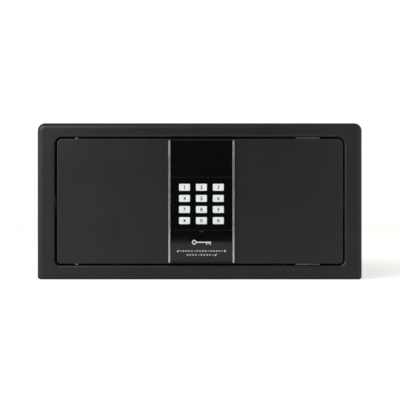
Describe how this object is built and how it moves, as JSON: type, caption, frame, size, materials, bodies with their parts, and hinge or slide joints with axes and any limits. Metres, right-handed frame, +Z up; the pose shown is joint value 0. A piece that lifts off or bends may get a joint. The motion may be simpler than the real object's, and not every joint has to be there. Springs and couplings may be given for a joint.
{
  "type": "in-room safe",
  "caption": "Low, wide hotel safe with a flush hinged door, a central keypad column, sliding locking bolts and an emergency key lock.",
  "frame": {"origin": "on the surface it stands on, under the middle of the safe", "axes": "+X to the user's right, +Y from the door to the back, +Z up"},
  "size_m": [0.405, 0.38, 0.195],
  "materials": {
    "powder_coated_steel": "fine matte powder coat",
    "zinc_plated_steel": "zinc plated sheet",
    "bright_steel": "bright turned steel",
    "bolt_chrome": "chrome plated",
    "bronze_bush": "machined",
    "nickel_brass": "nickel plated brass",
    "satin_trim": "satin anodised",
    "gloss_black": "high gloss moulded",
    "smoked_window": "smoked acrylic, high gloss",
    "black_abs": "moulded",
    "white_key": "white keycap, satin gloss",
    "silicone": "moulded silicone",
    "black_rubber": "moulded",
    "circuit_board": "solder mask",
    "display_glass": "display glass",
    "felt": "needle felt",
    "battery_jacket": "printed film jacket",
    "wire_sheath": "PVC sheath",
    "black_screws": "black zinc"
  },
  "bodies": {
    "cabinet": {"front_frame": "powder_coated_steel", "body_shell": "powder_coated_steel", "rear_panel": "powder_coated_steel", "strike_plate": "zinc_plated_steel", "door_stops": "zinc_plated_steel", "stop_buffers": "black_rubber", "hinge_pin_upper": "bright_steel", "hinge_pin_lower": "bright_steel", "floor_mat": "felt"},
    "door": {"door_plate": "powder_coated_steel", "hinge_block_upper": "zinc_plated_steel", "hinge_block_lower": "zinc_plated_steel", "hinge_bushes": "bronze_bush", "fascia_housing": "black_abs", "display_window": "smoked_window", "keypad_plate": "gloss_black", "trim_strip_left": "satin_trim", "trim_strip_right": "satin_trim", "fascia_screws": "zinc_plated_steel", "keypad_mat": "silicone", "main_board": "circuit_board", "display_module": "display_glass", "board_screws": "zinc_plated_steel", "motor_bracket": "zinc_plated_steel", "gearbox": "black_abs", "motor_can": "bright_steel", "bolt_guide": "zinc_plated_steel", "guide_studs": "bright_steel", "override_cylinder": "nickel_brass", "cylinder_nut": "nickel_brass", "inner_cover": "powder_coated_steel", "cover_screws": "black_screws", "battery_lead": "wire_sheath", "motor_lead": "wire_sheath", "battery_box": "black_abs", "batteries": "battery_jacket", "battery_contacts": "bright_steel"},
    "bolt_work": {"bolt_carriage": "zinc_plated_steel", "locking_bolt_upper": "bolt_chrome", "locking_bolt_lower": "bolt_chrome"},
    "drive_pinion": {"pinion": "bronze_bush"},
    "override_lock": {"override_plug": "nickel_brass", "override_cam": "bright_steel"},
    "front_cover": {"override_cover": "gloss_black"},
    "battery_lid": {"battery_cover": "black_abs"},
    "button_1": {"key_1": "white_key"},
    "button_2": {"key_2": "white_key"},
    "button_3": {"key_3": "white_key"},
    "button_4": {"key_4": "white_key"},
    "button_5": {"key_5": "white_key"},
    "button_6": {"key_6": "white_key"},
    "button_7": {"key_7": "white_key"},
    "button_8": {"key_8": "white_key"},
    "button_9": {"key_9": "white_key"},
    "button_star": {"key_star": "white_key"},
    "button_0": {"key_0": "white_key"},
    "button_hash": {"key_hash": "white_key"}
  },
  "joints": [
    {"name": "door_hinge", "type": "hinge", "parent": "cabinet", "child": "door", "pos_m": [-0.1538, -0.176, 0.0975], "axis": [0, 0, -1], "range_deg": [0, 110]},
    {"name": "bolt_slide", "type": "slide", "parent": "door", "child": "bolt_work", "axis": [1, 0, 0], "range_m": [0, 0.018]},
    {"name": "pinion_spin", "type": "hinge", "parent": "door", "child": "drive_pinion", "pos_m": [0.084, -0.177, 0.0975], "axis": [0, 1, 0], "range_deg": [0, 172]},
    {"name": "override_turn", "type": "hinge", "parent": "door", "child": "override_lock", "pos_m": [0.0022, -0.177, 0.044], "axis": [0, -1, 0], "range_deg": [0, 90]},
    {"name": "front_cover_pull", "type": "slide", "parent": "door", "child": "front_cover", "axis": [0, -1, 0], "range_m": [0, 0.025]},
    {"name": "battery_cover_pull", "type": "slide", "parent": "door", "child": "battery_lid", "axis": [0, 1, 0], "range_m": [0, 0.025]},
    {"name": "press_1", "type": "slide", "parent": "door", "child": "button_1", "axis": [0, 1, 0], "range_m": [0, 0.0006], "stiffness_N_per_m": 400, "springref_m": -0.001},
    {"name": "press_2", "type": "slide", "parent": "door", "child": "button_2", "axis": [0, 1, 0], "range_m": [0, 0.0006], "stiffness_N_per_m": 400, "springref_m": -0.001},
    {"name": "press_3", "type": "slide", "parent": "door", "child": "button_3", "axis": [0, 1, 0], "range_m": [0, 0.0006], "stiffness_N_per_m": 400, "springref_m": -0.001},
    {"name": "press_4", "type": "slide", "parent": "door", "child": "button_4", "axis": [0, 1, 0], "range_m": [0, 0.0006], "stiffness_N_per_m": 400, "springref_m": -0.001},
    {"name": "press_5", "type": "slide", "parent": "door", "child": "button_5", "axis": [0, 1, 0], "range_m": [0, 0.0006], "stiffness_N_per_m": 400, "springref_m": -0.001},
    {"name": "press_6", "type": "slide", "parent": "door", "child": "button_6", "axis": [0, 1, 0], "range_m": [0, 0.0006], "stiffness_N_per_m": 400, "springref_m": -0.001},
    {"name": "press_7", "type": "slide", "parent": "door", "child": "button_7", "axis": [0, 1, 0], "range_m": [0, 0.0006], "stiffness_N_per_m": 400, "springref_m": -0.001},
    {"name": "press_8", "type": "slide", "parent": "door", "child": "button_8", "axis": [0, 1, 0], "range_m": [0, 0.0006], "stiffness_N_per_m": 400, "springref_m": -0.001},
    {"name": "press_9", "type": "slide", "parent": "door", "child": "button_9", "axis": [0, 1, 0], "range_m": [0, 0.0006], "stiffness_N_per_m": 400, "springref_m": -0.001},
    {"name": "press_star", "type": "slide", "parent": "door", "child": "button_star", "axis": [0, 1, 0], "range_m": [0, 0.0006], "stiffness_N_per_m": 400, "springref_m": -0.001},
    {"name": "press_0", "type": "slide", "parent": "door", "child": "button_0", "axis": [0, 1, 0], "range_m": [0, 0.0006], "stiffness_N_per_m": 400, "springref_m": -0.001},
    {"name": "press_hash", "type": "slide", "parent": "door", "child": "button_hash", "axis": [0, 1, 0], "range_m": [0, 0.0006], "stiffness_N_per_m": 400, "springref_m": -0.001}
  ],
  "couplings": [
    {"joint": "pinion_spin", "follows": "bolt_slide", "rad_per_m": 166.67}
  ]
}
